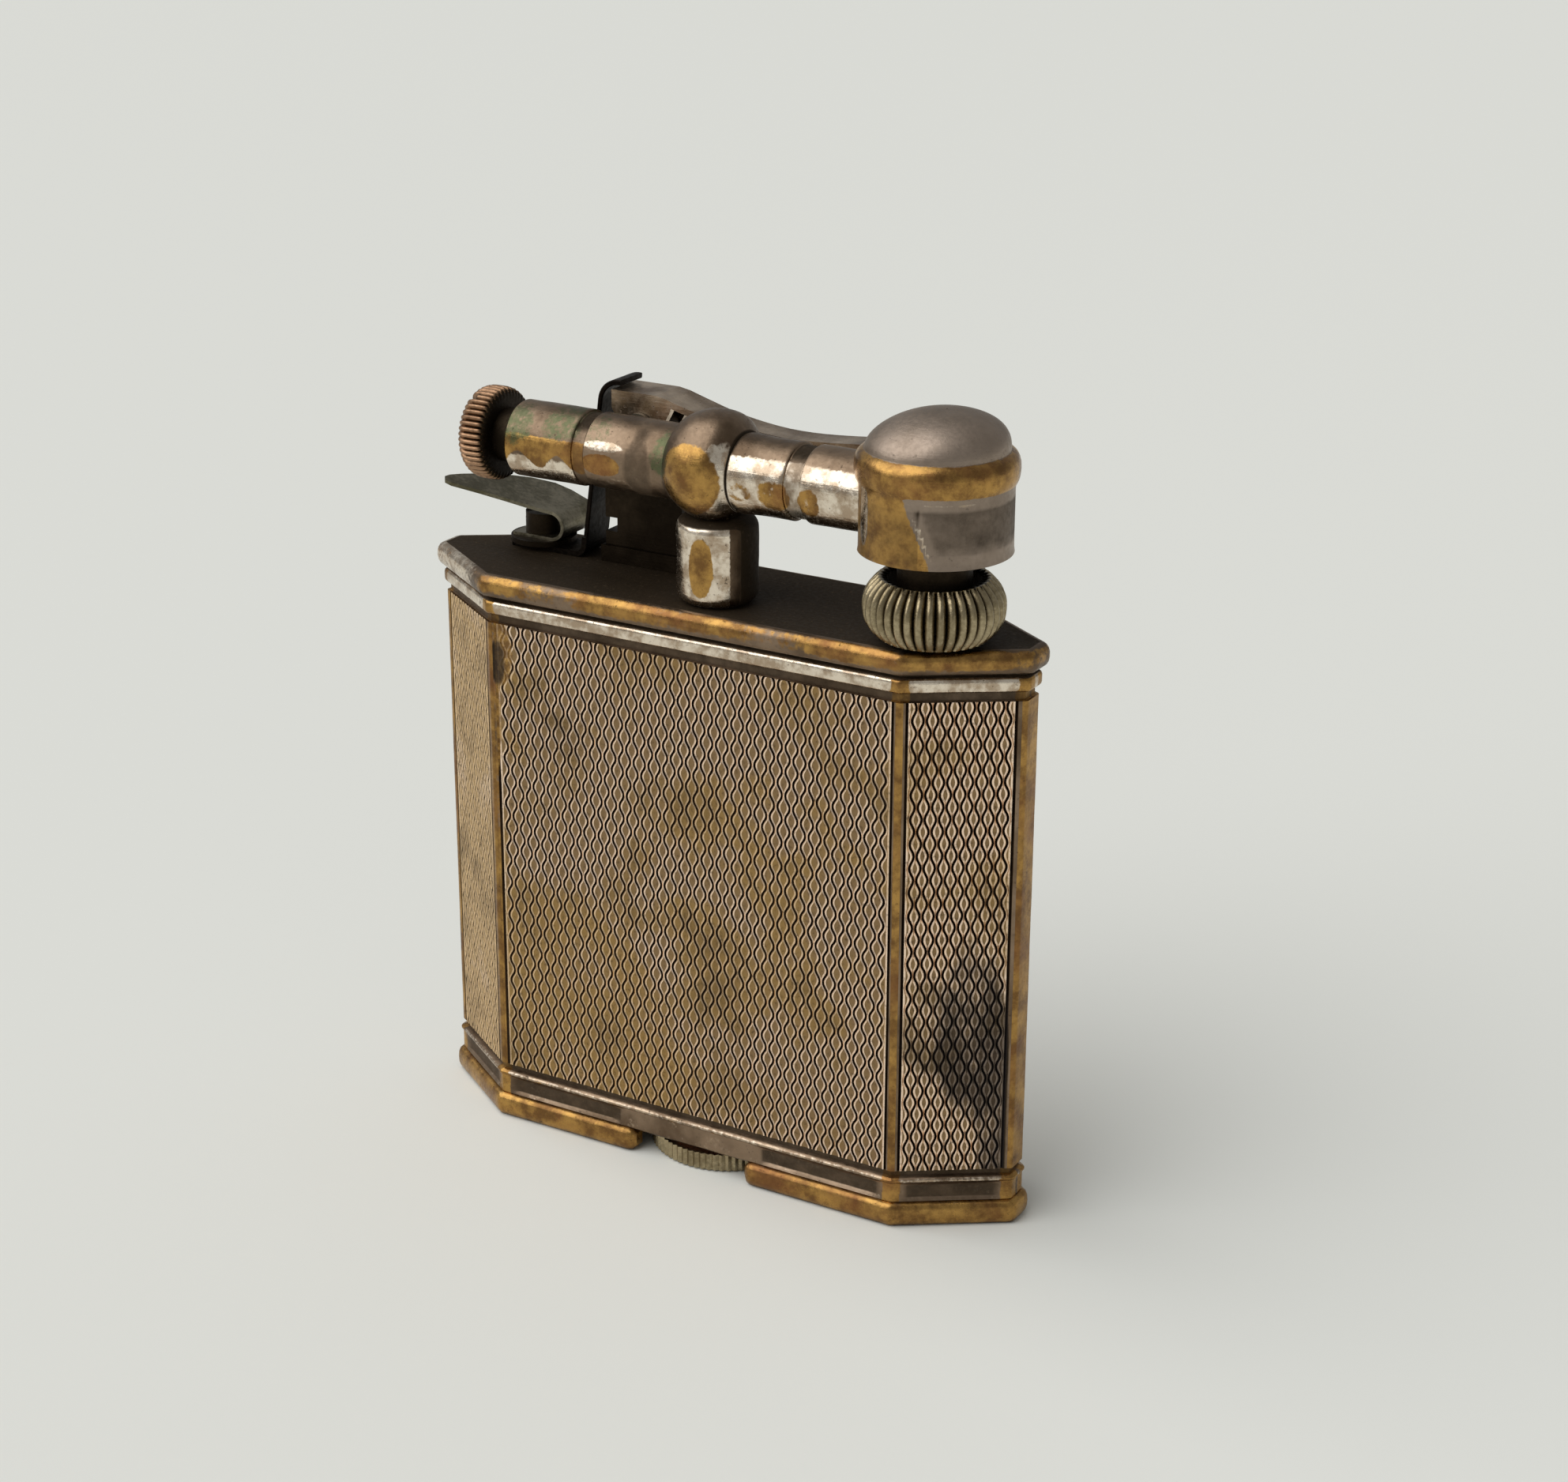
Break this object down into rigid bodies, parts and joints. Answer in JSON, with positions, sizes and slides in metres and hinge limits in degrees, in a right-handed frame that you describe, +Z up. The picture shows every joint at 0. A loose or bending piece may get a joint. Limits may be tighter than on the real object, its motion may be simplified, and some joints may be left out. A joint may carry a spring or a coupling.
{
  "type": "lift-arm pocket lighter",
  "caption": "Lift-arm pocket lighter: long eight-sided engine-turned case, horizontal flint tube on a ball and post, ribbed thumb wheel and a domed snuffer cap on a sprung arm.",
  "frame": {"origin": "centre of the filler opening, on the plane that the case rests on", "axes": "+X along the case to the burner side, +Y to the back where the lift arm is, +Z up"},
  "size_m": [0.0446, 0.0128, 0.0536],
  "materials": {
    "worn_silver": "thin silver plate over brass, rubbed through on the edges",
    "tarnished_silver": "silver plate tarnished grey-brown",
    "worn_brass": "bare brass, handled and lightly tarnished",
    "plain_brass": "dull drawn brass",
    "pale_nickel": "greenish worn nickel plate",
    "dark_steel": "dark burnished steel",
    "black_steel": "blackened spring steel",
    "spring_steel": "pale ground steel",
    "copper_brown": "copper-brown worn brass",
    "ferrocerium": "matt grey",
    "cotton": "loose undyed cotton",
    "fibre": "red pressed fibre"
  },
  "bodies": {
    "case": {"body_shell": "worn_silver", "top_plate": "tarnished_silver", "base_plate": "worn_brass", "fuel_tank": "plain_brass", "cotton_wadding": "cotton", "filler_bush": "plain_brass", "filler_washer": "fibre", "burner_tube": "plain_brass", "burner_bush": "plain_brass", "wick": "cotton", "wheel_collar": "plain_brass", "flint_tube_left": "worn_silver", "ball_joint": "worn_brass", "flint_tube_right": "worn_silver", "tube_post": "worn_silver", "post_nut": "plain_brass", "flint": "ferrocerium", "flint_plunger": "plain_brass", "flint_spring": "spring_steel", "arm_bracket": "dark_steel", "arm_pin": "spring_steel", "arm_spring_foot": "black_steel", "detent_spring": "spring_steel", "spring_washer": "tarnished_silver", "spring_screw": "dark_steel"},
    "arm": {"lift_arm": "tarnished_silver", "snuffer_cap": "tarnished_silver", "cap_rivet_a": "plain_brass", "cap_rivet_b": "plain_brass"},
    "arm_spring": {"arm_spring_blade": "black_steel"},
    "wheels": {"thumb_wheel": "pale_nickel", "flint_wheel": "dark_steel"},
    "flint_screw": {"flint_screw": "copper_brown"},
    "filler_screw": {"filler_screw": "worn_brass"}
  },
  "joints": [
    {"name": "arm_lift", "type": "hinge", "parent": "case", "child": "arm", "pos_m": [-0.007, 0.0022, 0.0486], "axis": [0, -1, 0], "range_deg": [0, 95]},
    {"name": "arm_spring_flex", "type": "hinge", "parent": "case", "child": "arm_spring", "pos_m": [-0.0116, 0.0022, 0.0406], "axis": [0, -1, 0], "range_deg": [0, 9.5]},
    {"name": "wheel_spin", "type": "hinge", "parent": "case", "child": "wheels", "pos_m": [0.01585, -0.0021, 0.0413], "axis": [0, 0, 1], "continuous": true},
    {"name": "flint_screw_turn", "type": "hinge", "parent": "case", "child": "flint_screw", "pos_m": [-0.0163, -0.0021, 0.04775], "axis": [1, 0, 0], "continuous": true},
    {"name": "filler_screw_turn", "type": "hinge", "parent": "case", "child": "filler_screw", "pos_m": [0, 0, 0.0007], "axis": [0, 0, 1], "continuous": true}
  ],
  "couplings": [
    {"joint": "arm_spring_flex", "follows": "arm_lift", "ratio": 0.1}
  ]
}
